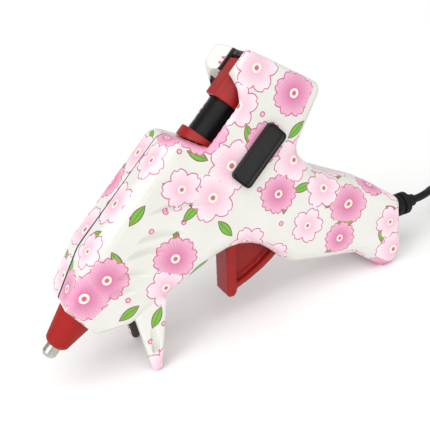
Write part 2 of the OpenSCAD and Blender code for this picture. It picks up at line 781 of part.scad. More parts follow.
// Rubber boot with three rings and a tapered end, held in the wall by its inner flange
module strain_relief() {
  ring_pitch = 4.2;
  inner = wall + boot_flange_t;
  taper = 3 * ring_pitch;
  color(black) rest() difference() {
    union() {
      along_cord(inner, boot_flange_t, boot_flange_r);
      along_cord(inner, inner + taper, boot_neck_r);
      for (i = [0 : 2])
        along_cord(-seat_gap - ring_pitch * i, boot_ring_t, boot_r);
      along_cord(boot_ring_t - taper, boot_l - taper + boot_ring_t, boot_neck_r - slide_gap, boot_end_r);
    }
    along_cord(inner + 1, inner + boot_l + 2, cord_r + seat_gap);
  }
}

// Cord inside the handle, from the clamp out through the strain relief
module inner_cord() {
  color(black) rest() along_cord(cord_back, cord_back + boot_l, cord_r);
}

module cord_clamp() {
  color(black) rest() at_outlet(clamp_back) difference() {
    translate([-clamp_l / 2, cord_r + seat_gap, -clamp_w / 2]) cube([clamp_l, clamp_t, clamp_w]);
    for (s = [-1, 1])
      translate([s * clamp_screw_x, 0, 0]) rotate([-90, 0, 0]) cylinder(h = 9, r = clamp_screw_r + seat_gap);
  }
}

module clamp_screws() {
  top = cord_r + seat_gap + clamp_t;
  color(steel) rest() at_outlet(clamp_back) for (s = [-1, 1])
    translate([s * clamp_screw_x, 0, 0]) rotate([-90, 0, 0]) union() {
      translate([0, 0, -cord_r - 5]) cylinder(h = top + cord_r + 5, r = clamp_screw_r);
      translate([0, 0, top]) cylinder(h = 1.2, r = 1.8 * clamp_screw_r);
    }
}

// Crimped joints between the cord's two cores and the heater's leads
module lead_joints() {
  color(cream) rest() for (s = [-1, 1])
    at_outlet(joint_back + joint_l) translate([0, s * joint_y, 0]) cylinder(h = joint_l, r = joint_r);
}

module heater_leads() {
  top = outlet - (joint_back + joint_l) * outlet_dir;
  before = top - 2 * outlet_dir;
  color(cream) rest() for (s = [-1, 1]) {
    route = [
      [top.x, s * joint_y, top.y],
      [before.x, s * joint_y, before.y],
      each [for (p = lead_points) [p.x, s * p.y, p.z]],
      [heater_x[1] + 2, s * lead_end_y, heater_z[0] + 1.5],
      [heater_x[1] + seat_gap, s * lead_end_y, heater_z[0] + 1.5],
    ];
    tube(smooth(route, 3), lead_r, 6);
  }
}

// Mains cord

module cord_lead() {
  color(black) tube(smooth(lead_route, 3), cord_r, 8);
}

// Point of the put-away cord after a number of turns of an oval
function ramp(t) = min(1, max(0, t));
function oval(part, r) =
  let (
    mean_r = hank_r - hank_pitch * hank_turns / 2,
    half = hank_l + 180 * mean_r * PI / 180,
    s = part * 2 * half,
    t = s < half ? s : s - half,
    side = s < half ? 1 : -1,
    turn = 90 - max(0, t - hank_l) / mean_r * 180 / PI,
    end = hank_x + (side > 0 ? hank_l : 0)
  )
  t < hank_l
    ? [end - side * (hank_l - t), side * r]
    : [end + side * r * cos(turn), side * r * sin(turn)];

// The oval winds inwards, reverses at each layer and steps up there
function hank_point(turn) =
  let (
    phase = turn % (2 * hank_turns),
    inwards = phase < hank_turns ? phase : 2 * hank_turns - phase,
    rise = ramp((turn - hank_turns + 0.25) / 0.5) + ramp((turn - 2 * hank_turns + 0.25) / 0.5)
      + ramp((turn - 3 * hank_turns + 0.25) / 0.5),
    place = oval(turn % 1, hank_r - hank_pitch * inwards)
  )
  [place.x, place.y, hank_z + rise * hank_pitch];

hank_steps = 28;
hank_path = concat(
  [lead_route[len(lead_route) - 1]],
  [for (i = [0 : hank_steps * 4 * hank_turns]) hank_point(i / hank_steps)],
  [tail_route[0]]);

module cord_coil() {
  gap = min([for (i = [0 : len(hank_path) - 14], j = [i + 13 : len(hank_path) - 1])
    norm(hank_path[i] - hank_path[j])]) - cord_d;
  echo(least_coil_gap = gap);
  color(black) tube(hank_path, cord_r, 6);
}

module cord_tail() {
  color(black) tube(smooth(tail_route, 3), cord_r, 8);
}

// Flat tie that holds the put-away cord
module cord_tie() {
  low = hank_lift - seat_gap;
  high = hank_top + cord_r + seat_gap;
  color(black) difference() {
    translate([tie_x, tie_y[0] - tie_t, low - tie_t])
      cube([tie_w, tie_y[1] - tie_y[0] + 2 * tie_t, high - low + 2 * tie_t]);
    translate([tie_x - 1, tie_y[0], low]) cube([tie_w + 2, tie_y[1] - tie_y[0], high - low]);
  }
}

// Flat two-pin plug lying on the put-away cord
module plug_body() {
  last = tail_route[len(tail_route) - 1];
  color(black) translate(last) union() {
    rotate([0, 90, 0]) cylinder(h = plug_tail_l + 1, r1 = cord_r + 1.2, r2 = cord_r + 2.6);
    translate([plug_tail_l, 0, -plug_t / 2]) linear_extrude(plug_t) polygon(flat(plug_plan));
  }
}

module plug_pins() {
  last = tail_route[len(tail_route) - 1];
  color(steel) for (s = [-1, 1])
    translate([last.x + plug_tail_l + plug_l, last.y + s * pin_spacing / 2, last.z]) rotate([0, 90, 0]) {
      cylinder(h = pin_l - pin_r, r = pin_r);
      translate([0, 0, pin_l - pin_r]) cylinder(h = pin_r, r1 = pin_r, r2 = pin_r / 2);
    }
}

left_housing();
right_housing();
housing_screws();
label_plate();
nozzle();
nozzle_shroud();
melt_chamber();
heater_tablet();
heater_insulator();
heater_clip();
stick_sleeve();
sleeve_clamp();
sleeve_collar();
inlet_ring();
feed_carriage();
grip_jaw();
jaw_pin();
trigger();
pivot_pin();
drive_pin();
return_spring();
strain_relief();
inner_cord();
cord_clamp();
clamp_screws();
lead_joints();
heater_leads();
cord_lead();
cord_coil();
cord_tail();
cord_tie();
plug_body();
plug_pins();
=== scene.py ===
"""Looks of a small hot glue gun: printed shell halves, red trigger and feed, nozzle, plate, boot and cord."""
import json
import math

import bpy
import numpy as np
from bpy.props import FloatProperty, FloatVectorProperty, PointerProperty
from mathutils import Matrix, Vector


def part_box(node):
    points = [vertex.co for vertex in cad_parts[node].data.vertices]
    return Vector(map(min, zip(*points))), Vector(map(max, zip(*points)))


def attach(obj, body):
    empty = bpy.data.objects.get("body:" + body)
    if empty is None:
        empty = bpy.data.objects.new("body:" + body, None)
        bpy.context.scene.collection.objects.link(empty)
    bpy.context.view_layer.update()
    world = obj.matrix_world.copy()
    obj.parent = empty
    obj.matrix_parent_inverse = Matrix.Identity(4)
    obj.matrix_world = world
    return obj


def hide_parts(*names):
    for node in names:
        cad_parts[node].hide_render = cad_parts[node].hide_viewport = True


bl_info = {
    "name": "Glue gun looks",
    "version": (1, 0, 0),
    "blender": (4, 5, 0),
    "location": "View3D > Sidebar > Glue gun",
    "description": "Models the visible pieces and finishes of a hot glue gun on its packed frame",
    "category": "Object",
}

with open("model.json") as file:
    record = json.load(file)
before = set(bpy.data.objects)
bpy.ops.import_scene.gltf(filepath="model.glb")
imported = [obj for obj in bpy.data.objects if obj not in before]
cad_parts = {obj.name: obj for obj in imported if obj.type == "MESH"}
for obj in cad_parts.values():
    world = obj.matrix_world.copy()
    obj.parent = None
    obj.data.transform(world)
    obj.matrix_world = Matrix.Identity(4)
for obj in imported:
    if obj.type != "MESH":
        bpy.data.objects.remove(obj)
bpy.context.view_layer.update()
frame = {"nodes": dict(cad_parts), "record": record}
MM = 0.001

# The barrel's lean and place come from the frame's own joints. The trigger's pivot is given in mm along
# the barrel from the nozzle's tip and up from the barrel's axis
JOINTS = {joint["name"]: joint for joint in frame["record"]["behaviour"]["joints"]}
FEED = JOINTS["carriage_feed"]["axis"]
LEAN = math.atan2(-FEED[2], -FEED[0])
COS, SIN = math.cos(LEAN), math.sin(LEAN)
PIVOT = JOINTS["trigger_pull"]["pos_m"]
PIVOT_ALONG, PIVOT_UP = 77.0, -28.6
SHIFT_X = PIVOT[0] / MM - PIVOT_ALONG * COS + PIVOT_UP * SIN
SHIFT_Z = PIVOT[2] / MM - PIVOT_ALONG * SIN - PIVOT_UP * COS

# Half the width of the housing, in mm, from the plate that lies on its side
HALF_WIDTH = -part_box("label_plate")[1][1] / MM


def row(along, across, up):
    """Place in metres of a point given in mm along, across and up from the barrel's axis."""
    return Vector((along * COS - up * SIN + SHIFT_X, across, along * SIN + up * COS + SHIFT_Z)) * MM


def laid(along, across, up, turn=0.0, dip=0.0):
    """Matrix that lays a shape at a point of the barrel's frame, turned in the side view and dipped."""
    return (Matrix.Translation(row(along, across, up)) @ Matrix.Rotation(math.radians(turn) - LEAN, 4, "Y")
            @ Matrix.Rotation(math.radians(dip), 4, "X"))


# Modelling helpers

# Distance in metres within which the corners of loose triangles are one
MERGE = 2e-6


def pick(piece):
    """Make a piece the only selected one, and the active one."""
    bpy.ops.object.select_all(action="DESELECT")
    piece.select_set(True)
    bpy.context.view_layer.objects.active = piece


def start_from(node, name):
    """A new piece that starts as a merged copy of a CAD node's mesh."""
    piece = bpy.data.objects.new(name, frame["nodes"][node].data.copy())
    bpy.context.scene.collection.objects.link(piece)
    pick(piece)
    bpy.ops.object.mode_set(mode="EDIT")
    bpy.ops.mesh.select_all(action="SELECT")
    bpy.ops.mesh.remove_doubles(threshold=MERGE)
    bpy.ops.object.mode_set(mode="OBJECT")
    return piece


def block(name, size, place, rounding=0.0):
    """A box of a size in mm, with rounded edges, laid at a place given as a matrix in metres."""
    bpy.ops.object.select_all(action="DESELECT")
    bpy.ops.mesh.primitive_cube_add(size=1.0)
    piece = bpy.context.object
    piece.name = name
    bpy.ops.object.mode_set(mode="EDIT")
    bpy.ops.mesh.select_all(action="SELECT")
    bpy.ops.transform.resize(value=[length * MM for length in size])
    if rounding:
        bpy.ops.mesh.bevel(offset=rounding * MM, segments=3, affect="EDGES")
    bpy.ops.object.mode_set(mode="OBJECT")
    piece.data.transform(place)
    return piece


def disc(name, radius, thick, place):
    """A flat disc of a radius and thickness in mm, laid at a place given as a matrix in metres."""
    bpy.ops.object.select_all(action="DESELECT")
    bpy.ops.mesh.primitive_cylinder_add(vertices=240, radius=radius * MM, depth=thick * MM)
    piece = bpy.context.object
    piece.name = name
    piece.data.transform(place)
    return piece


def finish_with(piece, kind, **settings):
    """Add one modifier and apply it."""
    pick(piece)
    modifier = piece.modifiers.new(kind.title(), kind)
    for name, value in settings.items():
        setattr(modifier, name, value)
    bpy.ops.object.modifier_apply(modifier=modifier.name)


def cut(piece, cutters):
    """Cut shapes out of a piece and remove them."""
    for cutter in cutters:
        finish_with(piece, "BOOLEAN", operation="DIFFERENCE", solver="EXACT", object=cutter)
        bpy.data.objects.remove(cutter)


def mould(piece, grid, rounds):
    """Give a piece the soft edges of a moulding: an even grid in mm, smoothed a few rounds."""
    finish_with(piece, "REMESH", mode="VOXEL", voxel_size=grid * MM)
    finish_with(piece, "SMOOTH", factor=0.5, iterations=rounds)
    bpy.ops.object.shade_smooth()


def place_piece(piece, finish, body, slot, *nodes):
    """Give a piece its finish, its body and the CAD nodes that it stands for."""
    piece.data.materials.clear()
    piece.data.materials.append(finish_of(finish))
    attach(piece, body)
    if nodes:
        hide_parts(*nodes)
    return piece


# Finishes

def linear(hex_colour):
    """Linear colour of an sRGB hex value."""
    parts = [int(hex_colour[i:i + 2], 16) / 255 for i in (1, 3, 5)]
    return [c / 12.92 if c <= 0.04045 else ((c + 0.055) / 1.055) ** 2.4 for c in parts] + [1.0]


def add(tree, kind, sockets=(), out=0, **settings):
    """Add one node with its settings, set or link its sockets, and return one of its outputs."""
    node = tree.nodes.new("ShaderNode" + kind)
    for name, value in settings.items():
        setattr(node, name, value)
    for key, value in sockets.items() if isinstance(sockets, dict) else enumerate(sockets):
        if isinstance(value, bpy.types.NodeSocket):
            tree.links.new(value, node.inputs[key])
        else:
            node.inputs[key].default_value = value
    return node.outputs[out]


def new_finish(name, **shader):
    """A material with one Principled shader, whose even values are set on its own sockets."""
    material = bpy.data.materials.new(name)
    material.use_nodes = True
    into = material.node_tree.nodes["Principled BSDF"].inputs
    for key, value in shader.items():
        into[key.replace("_", " ")].default_value = value
    return material, material.node_tree, into


def grained(name, colours, grain, depth, roughness, stretch=(1, 1, 1), turn=0.0, **shader):
    """A finish with a grain in mm: two close colours, a range of roughness and a bump of a depth in mm."""
    material, tree, into = new_finish(name, **shader)
    place = add(tree, "TexCoord", out="Object")
    place = add(tree, "Mapping", {"Vector": place, "Rotation": (0, turn, 0), "Scale": stretch})
    fine = add(tree, "TexNoise", {"Vector": place, "Scale": 1 / (grain * MM), "Detail": 3.0})
    wide = add(tree, "TexNoise", {"Vector": place, "Scale": 0.1 / (grain * MM), "Detail": 2.0})
    both = add(tree, "Math", [fine, wide], operation="ADD")
    shade = add(tree, "MapRange", {"Value": both, "From Min": 0.7, "From Max": 1.3})
    mixed = add(tree, "Mix", {0: shade, 6: linear(colours[0]), 7: linear(colours[1])}, out=2,
                data_type="RGBA")
    tree.links.new(mixed, into["Base Color"])
    rough = add(tree, "MapRange", {"Value": wide, "From Min": 0.35, "From Max": 0.65,
                                   "To Min": roughness[0], "To Max": roughness[1]})
    tree.links.new(rough, into["Roughness"])
    tree.links.new(add(tree, "Bump", {"Distance": depth * MM, "Height": fine}), into["Normal"])
    return material


# Floral film, in mm: the distance that takes a motif away, an outline's width, and a bud's radius and core
GONE = 99.0
RIM = 0.45
BUD_R, BUD_CORE = 1.1, 0.65

# Shares of their places that hold a bud, a leaf or a flower, and the luck above which a flower is a deep one
BUD_SHARE, LEAF_SHARE, FLOWER_SHARE, DEEP_ABOVE = 0.25, 0.75, 0.92, 0.72

# A leaf's half width as a part of its length, its rib's slenderness, and how far, in mm, the rib stops short
LEAF_HALF, RIB_THIN, RIB_SHORT = 0.2, 7.0, 0.8

# Petals of a pale and a deep flower: count, and middle and half width as parts of the flower's radius
PALE_PETALS, DEEP_PETALS = 5.0, 8.0
PETAL_MIDDLE, PETAL_HALF = (0.58, 0.66), (0.43, 0.34)

# Radius of a small and a large flower as parts of the flower size, and a notch's depth and half width in mm
FLOWER_R = (0.36, 0.5)
NOTCH, NOTCH_HALF = 0.9, 1.0

# Parts of a flower's radius where the plain middle, the eye and the eye's core end, and where petals fade
MIDDLE, EYE, EYE_CORE, FADE = 0.5, 0.2, 0.1, (0.15, 0.95)

# Streaks of a petal: how many to a radian, and how far they shift its fading
STREAKS, STREAK_SHIFT = 31.0, 0.09

# Seam in mm: half its width at the nose, and the row's X at the ends of its narrowing
SEAM_NOSE, SEAM_ENDS = 0.75, (-72.0, -40.0)

# Grain of the ground's tone and of the film's orange peel, and the peel's depth, in mm
TONE_GRAIN, PEEL_GRAIN, PEEL_DEPTH = 14.0, 1.8, 0.008


def strewn(tree, film, spacing, shift, share):
    """Motifs strewn over the film: place in mm from the nearest, its luck, and how far it is taken away."""
    moved = add(tree, "VectorMath", [film, shift], operation="ADD")
    near = add(tree, "TexVoronoi", {"Vector": moved, "Scale": 1 / spacing, "Randomness": 0.55},
               out="Position", voronoi_dimensions="2D")
    luck = add(tree, "SeparateColor", [near.node.outputs["Color"]]).node.outputs
    away = add(tree, "VectorMath", [moved, near], operation="SUBTRACT")
    angle = add(tree, "Math", [luck[0], math.tau], operation="MULTIPLY")
    turned = add(tree, "VectorRotate", {"Vector": away, "Angle": angle}, rotation_type="Z_AXIS")
    absent = add(tree, "Math", [luck[1], share], operation="GREATER_THAN")
    return turned, luck, add(tree, "Math", [absent, GONE], operation="MULTIPLY")


def bud_layers(tree, film, look):
    """Buds: small rings."""
    place, luck, gone = strewn(tree, film, look.bud_spacing, (3.1, 7.7, 0), BUD_SHARE)
    far = add(tree, "VectorMath", [place], out="Value", operation="LENGTH")
    edge = add(tree, "Math", [far, gone], operation="ADD")
    return [(edge, BUD_R, (*look.outline, 1.0)), (edge, BUD_CORE, (*look.pale, 1.0))]


def leaf_layers(tree, film, look):
    """Leaves: lenses with a dark rim and a rib."""
    place, luck, gone = strewn(tree, film, look.leaf_spacing, (37.3, 11.9, 0), LEAF_SHARE)
    half = LEAF_HALF * look.leaf_length
    rim = (*look.leaf_rim, 1.0)
    place = add(tree, "SeparateXYZ", [place]).node.outputs
    across = add(tree, "Math", [place[1]], operation="ABSOLUTE")
    along = add(tree, "Math", [place[0], 2 / look.leaf_length], operation="MULTIPLY")
    bow = add(tree, "Math", [along, 2.0], operation="POWER")
    edge = add(tree, "Math", [bow, half, across], operation="MULTIPLY_ADD")
    edge = add(tree, "Math", [edge, gone], operation="ADD")
    slim = add(tree, "Math", [across, RIB_THIN], operation="MULTIPLY")
    rib = add(tree, "Math", [edge, slim], operation="MAXIMUM")
    return [(edge, half, rim), (edge, half - RIM, (*look.leaf, 1.0)), (rib, half - RIB_SHORT, rim)]


def flower_layers(tree, film, look):
    """Flowers: notched petals round an eye, five on the pale ones and eight on the deep ones."""
    outline, pale, deep = (*look.outline, 1.0), (*look.pale, 1.0), (*look.deep, 1.0)
    place, luck, gone = strewn(tree, film, look.flower_spacing, (0, 0, 0), FLOWER_SHARE)
    far = add(tree, "VectorMath", [place], out="Value", operation="LENGTH")
    place = add(tree, "SeparateXYZ", [place]).node.outputs
    rich = add(tree, "Math", [luck[2], DEEP_ABOVE], operation="GREATER_THAN")
    size = add(tree, "MapRange", {"Value": luck[1], "To Min": look.flower_size * FLOWER_R[0],
                                  "To Max": look.flower_size * FLOWER_R[1]})

    # Angle from the middle of the nearest petal
    count = add(tree, "Math", [rich, DEEP_PETALS - PALE_PETALS, PALE_PETALS], operation="MULTIPLY_ADD")
    step = add(tree, "Math", [math.tau, count], operation="DIVIDE")
    angle = add(tree, "Math", [place[1], place[0]], operation="ARCTAN2")
    petal = add(tree, "Math", [angle, step], operation="SNAP")
    angle = add(tree, "Math", [add(tree, "Math", [angle, petal], operation="SUBTRACT"),
                               add(tree, "Math", [step, 0.5], operation="MULTIPLY")], operation="SUBTRACT")

    # Distance to a petal's edge, which is round and has a notch at its tip
    side = add(tree, "Math", [far, add(tree, "Math", [angle], operation="SINE")], operation="MULTIPLY")
    side = add(tree, "Math", [side], operation="ABSOLUTE")
    ahead = add(tree, "Math", [far, add(tree, "Math", [angle], operation="COSINE")], operation="MULTIPLY")
    middle = add(tree, "MapRange", {"Value": rich, "To Min": -PETAL_MIDDLE[0], "To Max": -PETAL_MIDDLE[1]})
    reach = add(tree, "Math", [size, middle, ahead], operation="MULTIPLY_ADD")
    lobe = add(tree, "VectorMath", [add(tree, "CombineXYZ", [reach, side])], out="Value", operation="LENGTH")
    width = add(tree, "MapRange", {"Value": rich, "To Min": -PETAL_HALF[0], "To Max": -PETAL_HALF[1]})
    edge = add(tree, "Math", [size, width, lobe], operation="MULTIPLY_ADD")
    notch = add(tree, "MapRange", {"Value": side, "From Max": NOTCH_HALF, "To Min": NOTCH, "To Max": 0.0})
    edge = add(tree, "Math", [add(tree, "Math", [edge, notch], operation="ADD"), gone], operation="ADD")

    # Petals fade outwards in streaks
    part = add(tree, "Math", [add(tree, "Math", [far, size], operation="DIVIDE"), gone], operation="ADD")
    streak = add(tree, "Math", [angle, STREAKS], operation="MULTIPLY")
    streak = add(tree, "Math", [streak], operation="COSINE")
    grade = add(tree, "Math", [streak, STREAK_SHIFT, part], operation="MULTIPLY_ADD")
    grade = add(tree, "MapRange", {"Value": grade, "From Min": FADE[0], "From Max": FADE[1]})
    fill_pale = add(tree, "Mix", {0: grade, 6: pale, 7: linear("#F6E9EC")}, out=2, data_type="RGBA")
    fill_deep = add(tree, "Mix", {0: grade, 6: deep, 7: pale}, out=2, data_type="RGBA")
    fill = add(tree, "Mix", {0: rich, 6: fill_pale, 7: fill_deep}, out=2, data_type="RGBA")
    return [(edge, 0.0, outline), (edge, -RIM, fill), (part, MIDDLE, fill), (part, EYE, linear("#F5EFD6")),
            (part, EYE_CORE, outline)]


def seam_and_painted_shade_layers(tree, look):
    """Dark line where the halves meet, which widens towards the nose, and painted shade: a dark colour on the
    faces inside and in the slot.
    """
    place = add(tree, "SeparateXYZ", [add(tree, "TexCoord", out="Object")]).node.outputs
    across = add(tree, "Math", [place[1]], operation="ABSOLUTE")
    gap = add(tree, "MapRange", {"Value": place[0],
                                 "From Min": SEAM_ENDS[0] * MM, "From Max": SEAM_ENDS[1] * MM,
                                 "To Min": SEAM_NOSE * MM, "To Max": look.seam * MM})
    outside = add(tree, "Attribute", out="Fac", attribute_name="outside")
    # Painted shade: faces that look inwards get a dark colour that stands in for the shade inside; the seam is
    # a dark joint
    return [(across, gap, linear("#2A2928")), (outside, 0.5, linear("#2E2C2B"))]


def make_printed_shell():
    # White ABS dipped in a printed film of flowers, leaves and buds; the faces inside and the slot carry a
    # dark painted shade
    material, tree, into = new_finish("shell_ABS_floral_film", IOR=1.5, Coat_Weight=0.2, Coat_Roughness=0.2)
    look = bpy.context.scene.glue_gun_print
    film = add(tree, "Attribute", out="Vector", attribute_name="film_mm")

    # Each layer is a distance, the limit under which the layer shows, and its colour
    layers = bud_layers(tree, film, look) + leaf_layers(tree, film, look) + flower_layers(tree, film, look)
    layers += seam_and_painted_shade_layers(tree, look)
    tone = add(tree, "TexNoise", {"Vector": film, "Scale": 1 / TONE_GRAIN, "Detail": 2.0})
    colour = add(tree, "Mix", {0: tone, 6: (*look.ground, 1.0), 7: linear("#DADAD2")}, out=2,
                 data_type="RGBA")
    for distance, limit, tint in layers:
        mask = add(tree, "Math", [distance, limit], operation="LESS_THAN")
        colour = add(tree, "Mix", {0: mask, 6: colour, 7: tint}, out=2, data_type="RGBA")
    tree.links.new(colour, into["Base Color"])
    rough = add(tree, "MapRange", {"Value": tone, "To Min": 0.28, "To Max": 0.42})
    tree.links.new(rough, into["Roughness"])
    place = add(tree, "TexCoord", out="Object")
    peel = add(tree, "TexNoise", {"Vector": place, "Scale": 1 / (PEEL_GRAIN * MM), "Detail": 2.0})
    tree.links.new(add(tree, "Bump", {"Distance": PEEL_DEPTH * MM, "Height": peel}), into["Normal"])
    return material


def make_red():
    # Red ABS, moulded with a satin skin: even colour, a faint orange peel and soft highlights
    return grained("red_ABS_moulded", ("#911714", "#9F1E1A"), grain=1.6, depth=0.012, roughness=(0.3, 0.42),
                   IOR=1.53, Specular_IOR_Level=0.25)


def make_silicone():
    # Moulded silicone: dull, with a fine dust-like grain
    return grained("silicone_red_moulded", ("#961C18", "#A5231E"), grain=0.9, depth=0.02,
                   roughness=(0.45, 0.6), IOR=1.41, Specular_IOR_Level=0.25)


def make_black():
    # Black nylon, moulded with a satin skin: deep black and soft highlights
    return grained("nylon_black_satin", ("#070709", "#0D0D10"), grain=1.2, depth=0.004, roughness=(0.3, 0.4),
                   IOR=1.53, Specular_IOR_Level=0.15)


def make_plate():
    # Polyester film plate: satin black, even
    return grained("plate_polyester_satin", ("#1C1C1C", "#242423"), grain=0.5, depth=0.006,
                   roughness=(0.4, 0.5), IOR=1.58, Specular_IOR_Level=0.25)


def make_rubber():
    # Soft PVC of the boot, tie and plug: dull black with a fine matt texture
    return grained("PVC_black_soft", ("#0E0E10", "#161618"), grain=0.6, depth=0.02, roughness=(0.5, 0.65),
                   IOR=1.53, Specular_IOR_Level=0.2)


def make_cord():
    # PVC sheath of the cord: smoother than the plug, with a soft sheen
    return grained("PVC_cord_sheath", ("#101012", "#18181A"), grain=0.8, depth=0.008, roughness=(0.36, 0.5),
                   IOR=1.53, Specular_IOR_Level=0.2)


def make_turned_metal():
    # Nickel-plated brass, turned: fine rings round the barrel's axis
    return grained("nickel_turned", ("#A9A79E", "#CFCDC5"), grain=0.3, depth=0.01, roughness=(0.2, 0.36),
                   stretch=(1, 0.15, 0.15), turn=LEAN, Metallic=1.0)


def make_steel():
    # Zinc-plated steel of screws, pins, clips and spring: pale grey and smooth
    return grained("steel_zinc_plated", ("#A2A3A4", "#C4C5C6"), grain=0.5, depth=0.006,
                   roughness=(0.24, 0.38), Metallic=1.0)


def make_aluminium():
    # Die-cast aluminium of the melt chamber: dull with a sandy skin
    return grained("aluminium_die_cast", ("#A8A8A8", "#C6C6C5"), grain=0.7, depth=0.03,
                   roughness=(0.42, 0.58), Metallic=1.0)


def make_ceramic():
    # Unglazed steatite and fibre sleeving: off-white and matt
    return grained("steatite_unglazed", ("#D9D3C2", "#E8E3D5"), grain=0.5, depth=0.02, roughness=(0.7, 0.85))


def make_film():
    # Polyimide film: amber and smooth
    return grained("polyimide_film", ("#B9781F", "#CE8F2E"), grain=1.0, depth=0.004, roughness=(0.2, 0.32),
                   IOR=1.7)


def make_brass():
    # Drawn brass of the plug's pins: pale gold with lines along the pin
    return grained("brass_drawn", ("#C9AE72", "#DCC58D"), grain=0.4, depth=0.006, roughness=(0.2, 0.34),
                   stretch=(0.12, 1, 1), Metallic=1.0)


MAKERS = {"printed_shell": make_printed_shell, "red": make_red, "silicone": make_silicone,
          "black": make_black, "plate": make_plate, "rubber": make_rubber, "cord": make_cord,
          "turned_metal": make_turned_metal, "steel": make_steel, "aluminium": make_aluminium,
          "ceramic": make_ceramic, "film": make_film, "brass": make_brass}
FINISHES = {}


def finish_of(name):
    """A finish, made once and shared by all pieces that carry it."""
    if name not in FINISHES:
        FINISHES[name] = MAKERS[name]()
    return FINISHES[name]


# Sizes and colours that a user would change

class GlueGunPrint(bpy.types.PropertyGroup):
    """Floral film on the shell."""
    flower_spacing: FloatProperty(
        name="Flower spacing", description="Mean distance between flowers in mm", default=18.5)
    flower_size: FloatProperty(
        name="Flower size", description="Width of a large flower in mm", default=21.0)
    leaf_spacing: FloatProperty(
        name="Leaf spacing", description="Mean distance between leaves in mm", default=16.0)
    leaf_length: FloatProperty(
        name="Leaf length", description="Length of a leaf in mm", default=9.5)
    bud_spacing: FloatProperty(
        name="Bud spacing", description="Mean distance between buds in mm", default=9.0)
    seam: FloatProperty(
        name="Seam", description="Half the width of the dark line at the seam in mm", default=0.32)
    ground: FloatVectorProperty(
        name="Ground", description="Colour between the motifs", subtype="COLOR", size=3,
        default=linear("#E9E9E4")[:3])
    outline: FloatVectorProperty(
        name="Outline", description="Colour of the flowers' outlines", subtype="COLOR", size=3,
        default=linear("#CF5F8B")[:3])
    pale: FloatVectorProperty(
        name="Pale petals", description="Colour of the pale petals", subtype="COLOR", size=3,
        default=linear("#EBB7CD")[:3])
    deep: FloatVectorProperty(
        name="Deep petals", description="Colour of the deep petals", subtype="COLOR", size=3,
        default=linear("#D56C9E")[:3])
    leaf: FloatVectorProperty(
        name="Leaf", description="Colour of the leaves", subtype="COLOR", size=3,
        default=linear("#60BE22")[:3])
    leaf_rim: FloatVectorProperty(
        name="Leaf rim", description="Colour of the leaves' rims", subtype="COLOR", size=3,
        default=linear("#8E3F4C")[:3])


class GlueGunSizes(bpy.types.PropertyGroup):
    """Details of the mouldings, in mm."""
    shell_grid: FloatProperty(
        name="Shell grid", description="Grid of the shell's mesh in mm", default=0.4)
    louvre_depth: FloatProperty(
        name="Louvre depth", description="Depth of a louvre at its step in mm", default=1.8)
    louvre_width: FloatProperty(
        name="Louvre width", description="Width of a louvre's slope in mm", default=3.6)
    channel_width: FloatProperty(
        name="Channel width", description="Width of the channel in a leg in mm", default=3.0)
    nose_cut: FloatProperty(
        name="Nose cut", description="Cut of the nose's lower edge at its front in mm", default=1.9)
    plate_corner: FloatProperty(
        name="Plate corner", description="Corner radius of the plate in mm", default=1.8)


class GlueGunStage(bpy.types.PropertyGroup):
    """Light and floor."""
    floor_colour: FloatVectorProperty(
        name="Floor", description="Colour of the floor", subtype="COLOR", size=3, default=(0.95, 0.95, 0.94))
    key_power: FloatProperty(
        name="Key light", description="Strength of the key light in W/m2", default=2.1)
    fill_power: FloatProperty(
        name="Fill light", description="Power of the strip light", default=0.5, unit="POWER")
    sky: FloatProperty(
        name="Sky", description="Strength of the even light all round", default=0.52)


# Stage, in metres: the camera's lens and sensor in mm, its place, and its directions to the right and up
LENS, SENSOR = 53.5, 36.0
CAMERA_AT = (-0.09476, -0.2118, 0.1547)
CAMERA_RIGHT, CAMERA_UP = (0.8837, -0.4372, -0.1674), (0.3267, 0.3197, 0.8894)

# Floor: its side, how far it lies under the gun, and the specks of its paper to a metre and their height
FLOOR_SIDE, FLOOR_DROP = 6.0, 0.0002
PAPER_SPECKS, PAPER_HEIGHT = 900.0, 0.00002

# Lights: the key's angle and the strip's size, and where they shine from
KEY_ANGLE, KEY_FROM = math.radians(80), (-0.35, -0.5, 0.85)
STRIP_SIZE, STRIP_FROM = 0.25, (-0.5, -0.25, 0.45)


